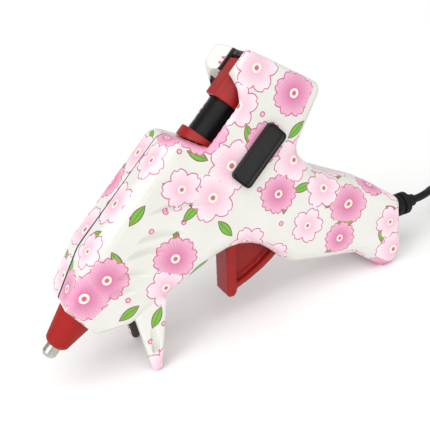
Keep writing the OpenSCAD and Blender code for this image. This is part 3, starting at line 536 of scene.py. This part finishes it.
class GLUEGUN_OT_stage(bpy.types.Operator):
    """Camera at the photograph's angle, pale floor and soft studio light."""
    bl_idname = "gluegun.stage"
    bl_label = "Stage"

    def execute(self, context):
        look = context.scene.glue_gun_stage
        self.set_camera(context.scene)
        self.lay_floor(context, look)
        for name, kind, power, spread, place in (
                ("key", "SUN", look.key_power, KEY_ANGLE, KEY_FROM),
                ("strip", "AREA", look.fill_power, STRIP_SIZE, STRIP_FROM)):
            lamp = bpy.data.objects.new(name, bpy.data.lights.new(name, kind))
            lamp.data.energy = power
            setattr(lamp.data, "angle" if kind == "SUN" else "size", spread)
            lamp.location = place
            lamp.rotation_euler = Vector(place).to_track_quat("Z", "Y").to_euler()
            context.scene.collection.objects.link(lamp)
        world = bpy.data.worlds.new("studio")
        world.use_nodes = True
        world.node_tree.nodes["Background"].inputs["Color"].default_value = (1.0, 1.0, 1.0, 1.0)
        world.node_tree.nodes["Background"].inputs["Strength"].default_value = look.sky
        context.scene.world = world
        context.scene.view_settings.view_transform = "Standard"
        return {"FINISHED"}

    def set_camera(self, scene):
        camera = bpy.data.objects.new("camera", bpy.data.cameras.new("camera"))
        scene.collection.objects.link(camera)
        camera.data.sensor_width, camera.data.lens = SENSOR, LENS
        camera.data.clip_start = 0.01
        right = Vector(CAMERA_RIGHT).normalized()
        back = right.cross(Vector(CAMERA_UP)).normalized()
        turn = Matrix((right, back.cross(right), back)).transposed().to_4x4()
        camera.matrix_world = Matrix.Translation(CAMERA_AT) @ turn
        scene.camera = camera

    def lay_floor(self, context, look):
        bpy.ops.object.select_all(action="DESELECT")
        bpy.ops.mesh.primitive_grid_add(x_subdivisions=12, y_subdivisions=12, size=FLOOR_SIDE,
                                        location=(0, 0, -FLOOR_DROP))
        floor = context.object
        floor.name = "floor"
        # Matt paper: white and even, with a faint tooth
        material, tree, into = new_finish("floor_paper", Base_Color=(*look.floor_colour, 1.0), Roughness=1.0,
                                          Specular_IOR_Level=0.0)
        place = add(tree, "TexCoord", out="Object")
        grain = add(tree, "TexNoise", {"Vector": place, "Scale": PAPER_SPECKS})
        tree.links.new(add(tree, "Bump", {"Distance": PAPER_HEIGHT, "Height": grain}), into["Normal"])
        floor.data.materials.append(material)


# Mains cord, in mm: the route of the frame's cord, put away as an oval hank of four layers
CORD_R = 1.8
CORD_START, CORD_AHEAD = Vector((88.3365, 0.0, 19.4272)), Vector((0.999045, 0.0, -0.043688))
HANK_X, HANK_R, HANK_L, HANK_TURNS, HANK_LAYERS = 140.0, 17.0, 54.0, 1.5, 4
HANK_PITCH = 2 * CORD_R + 0.5
HANK_Z = CORD_R + 0.6
HANK_TOP = HANK_Z + (HANK_LAYERS - 1) * HANK_PITCH

# Part of a turn in which the hank climbs a layer, points to a turn, and steps of the line between two points
CLIMB, TURN_POINTS, LINE_STEPS = 0.5, 28, 3

# Grip grooves on both sides of the plug, in mm: size, rounding, count, step, and the first's distance from
# the plug's front
GROOVE, GROOVE_ROUND, GROOVES, GROOVE_STEP, GROOVE_FIRST = (1.3, 1.6, 9.0), 0.4, 5, 3.2, 9.0

# Edge rounding of the tie, in mm
TIE_ROUND = 0.2


def oval(part, r):
    """Point of an oval of end radius r, after a part of its turn."""
    mean = HANK_R - HANK_PITCH * HANK_TURNS / 2
    half = HANK_L + math.pi * mean
    side = 1 if part < 0.5 else -1
    t = (part % 0.5) * 2 * half
    end = HANK_X + (HANK_L if side > 0 else 0)
    if t < HANK_L:
        return end - side * (HANK_L - t), side * r
    a = math.pi / 2 - (t - HANK_L) / mean
    return end + side * r * math.cos(a), side * r * math.sin(a)


def hank_point(turn):
    """Point of the hank after a number of turns: it winds in and out again, and climbs where it reverses."""
    phase = turn % (2 * HANK_TURNS)
    inwards = min(phase, 2 * HANK_TURNS - phase)
    climbs = ((turn - layer * HANK_TURNS + CLIMB / 2) / CLIMB for layer in range(1, HANK_LAYERS))
    rise = sum(min(1, max(0, climb)) for climb in climbs)
    return (*oval(turn % 1, HANK_R - HANK_PITCH * inwards), HANK_Z + rise * HANK_PITCH)


def through(points, steps):
    """Smooth line through points."""
    line = []
    for i in range(len(points) - 1):
        a, b, c, d = (Vector(points[min(max(k, 0), len(points) - 1)]) for k in (i - 1, i, i + 1, i + 2))
        for t in (k / steps for k in range(steps)):
            line.append(0.5 * (2 * b + (c - a) * t + (2 * a - 5 * b + 4 * c - d) * t * t
                               + (3 * b - a - 3 * c + d) * t ** 3))
    return line + [Vector(points[-1])]


class GLUEGUN_OT_cord(bpy.types.Operator):
    """Mains cord from the boot to its hank, tie and plug."""
    bl_idname = "gluegun.cord"
    bl_label = "Cord and plug"

    def execute(self, context):
        route = [CORD_START, CORD_START + 2 * CORD_R * CORD_AHEAD, (97, 0.9, 19.2), (103, 4.2, 18.2),
                 (112, 10.6, 14.4), (119, 14.8, 9.2), (125, 16.8, 4.6), (131, HANK_R, HANK_Z),
                 (HANK_X - 2 * CORD_R, HANK_R, HANK_Z)]
        route += [hank_point(i / TURN_POINTS) for i in range(int(TURN_POINTS * HANK_LAYERS * HANK_TURNS) + 1)]
        route += [(HANK_X + 2 * CORD_R, HANK_R, HANK_TOP), (HANK_X + 4.4 * CORD_R, HANK_R, HANK_TOP),
                  (155, 16.3, 17.6), (163, 10.8, 21.9), (170, 6.3, 23.7), (174, 6.3, 23.7)]
        line = through(route, LINE_STEPS)
        curve = bpy.data.curves.new("mains_cord", "CURVE")
        curve.dimensions = "3D"
        curve.bevel_depth, curve.bevel_resolution, curve.use_fill_caps = CORD_R * MM, 5, True
        spline = curve.splines.new("POLY")
        spline.points.add(len(line) - 1)
        for point, place in zip(spline.points, line):
            point.co = (*(place * MM), 1.0)
        spline.use_smooth = True
        cord = bpy.data.objects.new("mains_cord", curve)
        context.scene.collection.objects.link(cord)

        plug = self.make_plug()
        tie = start_from("cord_tie", "tie")
        finish_with(tie, "BEVEL", width=TIE_ROUND * MM, segments=2, limit_method="ANGLE")
        place_piece(tie, "rubber", "gun", "black_plastic", "cord_tie")
        place_piece(cord, "cord", "gun", "cord", "cord_lead", "cord_coil", "cord_tail")
        return {"FINISHED"}

    def make_plug(self):
        """Moulded plug with grip grooves on both sides."""
        plug = start_from("plug_body", "plug")
        low, high = (Vector(corner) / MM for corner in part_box("plug_body"))
        grooves = []
        for k in range(GROOVES):
            for y in (low.y, high.y):
                place = Vector((high.x - GROOVE_FIRST - GROOVE_STEP * k, y, (low.z + high.z) / 2)) * MM
                grooves.append(block("groove", GROOVE, Matrix.Translation(place), GROOVE_ROUND))
        cut(plug, grooves)
        mould(plug, 0.5, 6)
        return place_piece(plug, "rubber", "gun", "plug", "plug_body")


# Louvres and the handle's crease: along, up and length in mm of each step's upper front end, its turn in the
# side view in degrees, and its depth as a part of a full louvre's
STEPS = ((32.7, 0.8, 12.0, 50.0, 0.9), (39.6, 1.9, 13.4, 50.0, 0.9), (47.9, 3.5, 17.0, 50.0, 1.0),
         (54.8, 4.1, 20.0, 50.0, 1.0), (65.6, 6.9, 25.0, 50.0, 1.0), (105.5, -52.0, 33.0, 65.7, 0.35))

# How far a louvre's slope and its ends run past the side's face, in mm
SLOPE_PAST, STEP_PAST = 0.15, 1.0

# Cut of the nose's lower edge: along and up of its front end and its length in mm, its turn and dip in
# degrees, the depth of the edge's own rounding, where the cut ends, and the block's thickness and height in mm
NOSE_AT, NOSE_L, NOSE_TURN, NOSE_DIP = (18.0, -8.6), 22.0, 33.0, 50.0
NOSE_ROUND, NOSE_T, NOSE_H = 1.6, 8.0, 16.0

# Channel in a leg's outside: length, depth and rounding in mm, its middle, and its turn and splay in degrees
CHANNEL_L, CHANNEL_T, CHANNEL_ROUND = 13.0, 2.0, 0.5
CHANNEL_AT, CHANNEL_TURN, CHANNEL_SPLAY = (28.2, 14.05, -25.8), -43.6, 5.6

# Rounds of smoothing of a shell, and the share of its triangles that stays: flats need fewer than edges
SHELL_ROUNDS, SHELL_KEPT = 3, 0.48

# Slot in the post's top, whose faces carry painted shade, in mm: half its width, its top, and its ends along
# the barrel
SLOT_HALF, SLOT_TOP, SLOT_X = 4.9, 9.15, (112.0, 134.2)

# Distance between the two halves' films, in mm, and how far a face looks inwards before it gets painted shade
FILM_APART, INWARDS = 400.0, 0.6


class GLUEGUN_OT_shells(bpy.types.Operator):
    """Both halves of the printed shell, with louvres, leg channels and handle crease."""
    bl_idname = "gluegun.shells"
    bl_label = "Shell halves"

    def execute(self, context):
        sizes = context.scene.glue_gun_sizes
        for node, name, side in (("left_housing", "shell_left", -1), ("right_housing", "shell_right", 1)):
            shell = start_from(node, name)
            cutters = [self.louvre(sizes, side, *step) for step in STEPS]
            cutters += [self.nose_edge(sizes, side), self.channel(sizes, side)]
            cut(shell, cutters)
            mould(shell, sizes.shell_grid, SHELL_ROUNDS)
            finish_with(shell, "DECIMATE", ratio=SHELL_KEPT)
            self.spread_film(shell, side)
            place_piece(shell, "printed_shell", "gun", "shell", node)
        return {"FINISHED"}

    def louvre(self, sizes, side, along, up, length, turn, part):
        """Disc that cuts one louvre: its step is deepest at the middle and fades out at both ends."""
        width = sizes.louvre_width
        depth = sizes.louvre_depth * part
        slope = math.degrees(math.atan2(depth + SLOPE_PAST, width))
        inner = laid(along, side * (HALF_WIDTH - depth), up, turn, -side * slope)
        radius = (length ** 2 / 4 + depth ** 2) / (2 * depth)
        centre = Vector((length / 2, side * radius, (width + STEP_PAST) / 2)) * MM
        return disc("louvre", radius, width + STEP_PAST, inner @ Matrix.Translation(centre))

    def nose_edge(self, sizes, side):
        """Block that cuts the nose's lower edge, deepest at its front."""
        edge = laid(NOSE_AT[0], side * HALF_WIDTH, NOSE_AT[1], NOSE_TURN, -side * NOSE_DIP)
        fade = (Matrix.Translation(Vector((NOSE_L / 2, -side * NOSE_ROUND, 0.0)) * MM)
                @ Matrix.Rotation(side * math.atan2(sizes.nose_cut, NOSE_L / 2), 4, "Z")
                @ Matrix.Translation(Vector((-NOSE_L / 2, side * NOSE_T / 2, 0.0)) * MM))
        return block("nose_edge", (NOSE_L, NOSE_T, NOSE_H), edge @ fade)

    def channel(self, sizes, side):
        """Block that cuts the channel in a leg."""
        along, across, up = CHANNEL_AT
        splay = Matrix.Rotation(math.radians(CHANNEL_SPLAY * side), 4, "Z")
        return block("channel", (CHANNEL_L, CHANNEL_T, sizes.channel_width),
                     laid(along, side * across, up, CHANNEL_TURN) @ splay, CHANNEL_ROUND)

    def spread_film(self, shell, side):
        """Lay the film's coordinates, in mm, over the sides and round their edges, and mark the faces that get
        painted shade.
        """
        mesh = shell.data
        count = len(mesh.vertices)
        place = np.empty(count * 3)
        mesh.vertices.foreach_get("co", place)
        place = place.reshape(-1, 3) / MM
        normal = np.empty(count * 3)
        mesh.vertex_normals.foreach_get("vector", normal)
        normal = normal.reshape(-1, 3)
        x, across, z = place[:, 0] - SHIFT_X, np.abs(place[:, 1]), place[:, 2] - SHIFT_Z
        along, up = x * COS + z * SIN, z * COS - x * SIN
        out_along = normal[:, 0] * COS + normal[:, 2] * SIN
        out_up = normal[:, 2] * COS - normal[:, 0] * SIN
        wrap = np.maximum(0.0, HALF_WIDTH - across)
        apart = FILM_APART if side > 0 else 0.0
        film = np.stack([along + out_along * wrap + apart, up + out_up * wrap, np.zeros(count)], -1)
        mesh.attributes.new("film_mm", "FLOAT_VECTOR", "POINT").data.foreach_set("vector", film.ravel())
        # Faces that look inwards, and the faces in the slot, are marked for painted shade
        outside = np.clip(0.5 + INWARDS + normal[:, 1] * side, 0.0, 1.0)
        slot = (across < SLOT_HALF) & (up > 0) & (up < SLOT_TOP) & (along > SLOT_X[0]) & (along < SLOT_X[1])
        outside[slot] = 0.0
        mesh.attributes.new("outside", "FLOAT", "POINT").data.foreach_set("value", outside)


class GLUEGUN_OT_trigger(bpy.types.Operator):
    """Red trigger with soft edges."""
    bl_idname = "gluegun.trigger"
    bl_label = "Trigger"

    def execute(self, context):
        trigger = start_from("trigger", "trigger_lever")
        mould(trigger, 0.4, 8)
        place_piece(trigger, "red", "trigger", "red_plastic", "trigger")
        return {"FINISHED"}


class GLUEGUN_OT_feed(bpy.types.Operator):
    """Feed carriage and the collar in front of the window."""
    bl_idname = "gluegun.feed"
    bl_label = "Feed"

    def execute(self, context):
        for node, name, body in (("feed_carriage", "carriage_block", "carriage"),
                                 ("sleeve_collar", "collar", "gun")):
            piece = start_from(node, name)
            mould(piece, 0.35, 6)
            place_piece(piece, "red", body, "red_plastic", node)
        return {"FINISHED"}


class GLUEGUN_OT_shroud(bpy.types.Operator):
    """Silicone cone round the nozzle, with a soft front edge."""
    bl_idname = "gluegun.shroud"
    bl_label = "Nozzle cone"

    def execute(self, context):
        shroud = start_from("nozzle_shroud", "nozzle_cone")
        mould(shroud, 0.3, 4)
        place_piece(shroud, "silicone", "gun", "silicone", "nozzle_shroud")
        return {"FINISHED"}


# Plate, in mm: its size, along and up of its lower front corner, the width of its edge and border, and the
# width and depth of the step to its field
PLATE_L, PLATE_T, PLATE_H, PLATE_AT = 24.8, 0.45, 9.3, (94.0, -20.7)
PLATE_EDGE, PLATE_BORDER, PLATE_STEP, PLATE_SUNK = 0.12, 0.35, 0.1, 0.06


class GLUEGUN_OT_plate(bpy.types.Operator):
    """Bare plate with round corners and a raised border."""
    bl_idname = "gluegun.plate"
    bl_label = "Plate"

    def execute(self, context):
        plate = block("rating_plate", (PLATE_L, PLATE_T, PLATE_H), Matrix())
        pick(plate)
        bpy.ops.object.mode_set(mode="EDIT")
        bpy.ops.mesh.select_all(action="DESELECT")
        bpy.ops.object.mode_set(mode="OBJECT")
        for edge in plate.data.edges:
            a, b = (plate.data.vertices[k].co for k in edge.vertices)
            edge.select = abs(a.y - b.y) > PLATE_T / 2 * MM
        bpy.ops.object.mode_set(mode="EDIT")
        corner = context.scene.glue_gun_sizes.plate_corner
        bpy.ops.mesh.bevel(offset=corner * MM, segments=8, affect="EDGES")
        bpy.ops.mesh.select_all(action="DESELECT")
        bpy.ops.object.mode_set(mode="OBJECT")
        for face in plate.data.polygons:
            face.select = face.normal.y < -0.9
        bpy.ops.object.mode_set(mode="EDIT")
        for width, sunk in ((PLATE_EDGE, 0.0), (PLATE_BORDER, 0.0), (PLATE_STEP, PLATE_SUNK)):
            bpy.ops.mesh.inset(thickness=width * MM, depth=-sunk * MM)
        bpy.ops.object.mode_set(mode="OBJECT")
        along, up = PLATE_AT
        plate.data.transform(laid(along + PLATE_L / 2, -HALF_WIDTH - PLATE_T / 2, up + PLATE_H / 2))
        bpy.ops.object.shade_smooth_by_angle(angle=math.radians(35))
        place_piece(plate, "plate", "gun", "label", "label_plate")
        return {"FINISHED"}


class GLUEGUN_OT_boot(bpy.types.Operator):
    """Ribbed strain relief where the cord leaves the handle."""
    bl_idname = "gluegun.boot"
    bl_label = "Strain relief"

    def execute(self, context):
        boot = start_from("strain_relief", "boot")
        mould(boot, 0.2, 2)
        place_piece(boot, "rubber", "gun", "boot", "strain_relief")
        return {"FINISHED"}


# Finish of each CAD node whose shape stays
CARRIED = {"turned_metal": ("nozzle",), "aluminium": ("melt_chamber",), "film": ("heater_insulator",),
           "ceramic": ("heater_tablet", "lead_joints", "heater_leads"), "cord": ("inner_cord",),
           "black": ("stick_sleeve", "inlet_ring", "cord_clamp"), "brass": ("plug_pins",),
           "steel": ("housing_screws", "heater_clip", "sleeve_clamp", "grip_jaw", "jaw_pin", "pivot_pin",
                     "drive_pin", "return_spring", "clamp_screws")}


class GLUEGUN_OT_finishes(bpy.types.Operator):
    """Finishes of the pieces whose CAD shape stays."""
    bl_idname = "gluegun.finishes"
    bl_label = "Carried-over pieces"

    def execute(self, context):
        for finish, nodes in CARRIED.items():
            for node in nodes:
                materials = frame["nodes"][node].data.materials
                materials.clear()
                materials.append(finish_of(finish))
        return {"FINISHED"}


class GLUEGUN_PT_panel(bpy.types.Panel):
    """Sizes and steps of the glue gun."""
    bl_idname = "GLUEGUN_PT_panel"
    bl_label = "Glue gun"
    bl_space_type = "VIEW_3D"
    bl_region_type = "UI"
    bl_category = "Glue gun"

    def draw(self, context):
        for name, kind in GROUPS.items():
            for size in kind.__annotations__:
                self.layout.prop(getattr(context.scene, name), size)
        for operator in OPERATORS:
            self.layout.operator(operator.bl_idname)


OPERATORS = (GLUEGUN_OT_stage, GLUEGUN_OT_cord, GLUEGUN_OT_shells, GLUEGUN_OT_trigger, GLUEGUN_OT_feed,
             GLUEGUN_OT_shroud, GLUEGUN_OT_plate, GLUEGUN_OT_boot, GLUEGUN_OT_finishes)
GROUPS = {"glue_gun_print": GlueGunPrint, "glue_gun_sizes": GlueGunSizes, "glue_gun_stage": GlueGunStage}


def register():
    for kind in (*GROUPS.values(), *OPERATORS, GLUEGUN_PT_panel):
        bpy.utils.register_class(kind)
    for name, kind in GROUPS.items():
        setattr(bpy.types.Scene, name, PointerProperty(type=kind))


def unregister():
    for name in GROUPS:
        delattr(bpy.types.Scene, name)
    for kind in reversed((*GROUPS.values(), *OPERATORS, GLUEGUN_PT_panel)):
        bpy.utils.unregister_class(kind)


def main():
    register()
    for operator in OPERATORS:
        group, name = operator.bl_idname.split(".")
        getattr(getattr(bpy.ops, group), name)()


if __name__ == "__main__":
    main()
